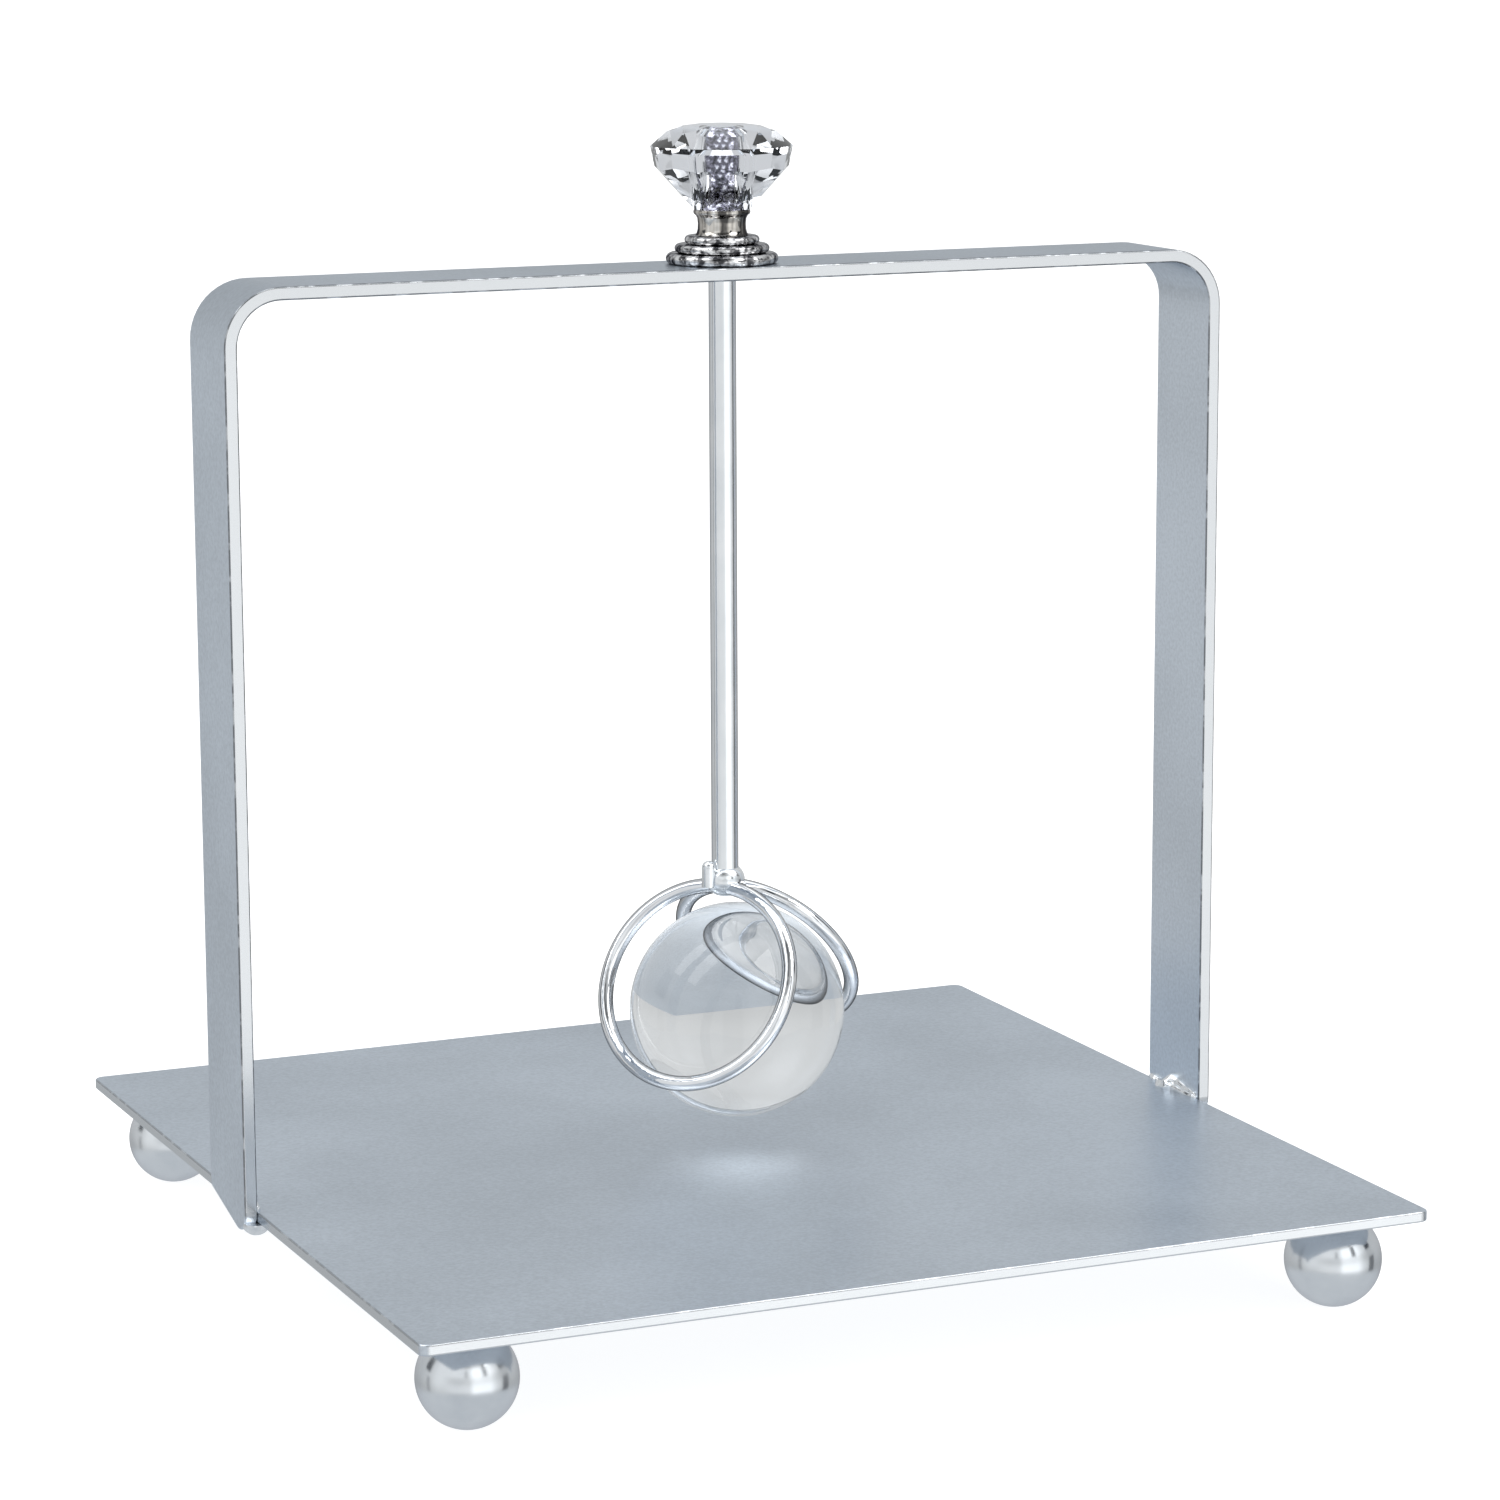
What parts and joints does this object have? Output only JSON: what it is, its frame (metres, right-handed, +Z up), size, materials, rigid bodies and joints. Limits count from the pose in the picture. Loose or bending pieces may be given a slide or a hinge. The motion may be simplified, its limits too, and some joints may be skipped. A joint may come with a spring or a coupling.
{
  "type": "weighted napkin holder",
  "caption": "Weighted napkin holder: a square plate on ball feet under a strap arch, with a knobbed rod that lifts and turns a crystal ball pressing on the napkins.",
  "frame": {"origin": "on the table under the middle of the plate", "axes": "+X from the left leg to the right leg of the arch, +Y to the back, +Z up along the rod"},
  "size_m": [0.1948, 0.19, 0.208],
  "materials": {
    "satin_silver": "satin silver plate",
    "pearl_silver": "satin silver",
    "polished_nickel": "polished nickel plate",
    "braze": "plated solder",
    "stud_steel": "plain steel",
    "crystal": "clear polished crystal"
  },
  "bodies": {
    "frame": {"base_plate": "satin_silver", "foot_studs": "stud_steel", "frame_strap": "satin_silver", "foot_ball_front_left": "pearl_silver", "foot_ball_front_right": "pearl_silver", "foot_ball_back_left": "pearl_silver", "foot_ball_back_right": "pearl_silver", "weld_main_left": "braze", "weld_main_right": "braze", "weld_tack_left": "braze", "weld_tack_right": "braze", "weld_under_left": "braze", "weld_under_right": "braze"},
    "rosette": {"knob_rosette": "polished_nickel"},
    "plunger": {"lift_rod": "polished_nickel", "ring_front": "polished_nickel", "ring_rear": "polished_nickel", "ring_braze": "braze", "crystal_ball": "crystal", "knob_crystal": "crystal", "knob_ferrule": "polished_nickel"}
  },
  "joints": [
    {"name": "lift", "type": "slide", "parent": "frame", "child": "rosette", "axis": [0, 0, 1], "range_m": [0, 0.107]},
    {"name": "spin", "type": "hinge", "parent": "rosette", "child": "plunger", "pos_m": [0, 0, 0.183], "axis": [0, 0, 1], "continuous": true}
  ]
}
